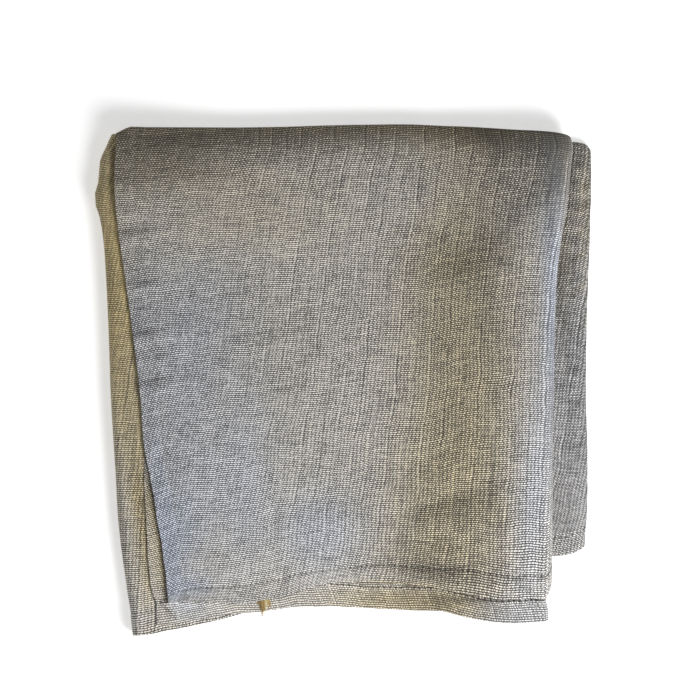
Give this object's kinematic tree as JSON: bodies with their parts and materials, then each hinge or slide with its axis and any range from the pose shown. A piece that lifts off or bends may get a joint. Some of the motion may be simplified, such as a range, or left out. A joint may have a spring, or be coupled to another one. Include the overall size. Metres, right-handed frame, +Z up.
{
  "type": "folded tea towel",
  "caption": "Plain-woven linen tea towel with stitched hems, folded small and lying flat in uneven layers.",
  "frame": {"origin": "under the middle of the folded towel, on the surface that it lies on", "axes": "+Z up, +Y towards the top fold, +X towards the strip of the bottom panel that shows beside the right fold"},
  "size_m": [0.2589, 0.2665, 0.016],
  "materials": {
    "linen": "matt grey-beige plain weave",
    "straw_yarn": "matt frayed yarn"
  },
  "bodies": {
    "root": {"towel_cloth": "linen", "yarn_tuft": "straw_yarn"}
  },
  "joints": []
}
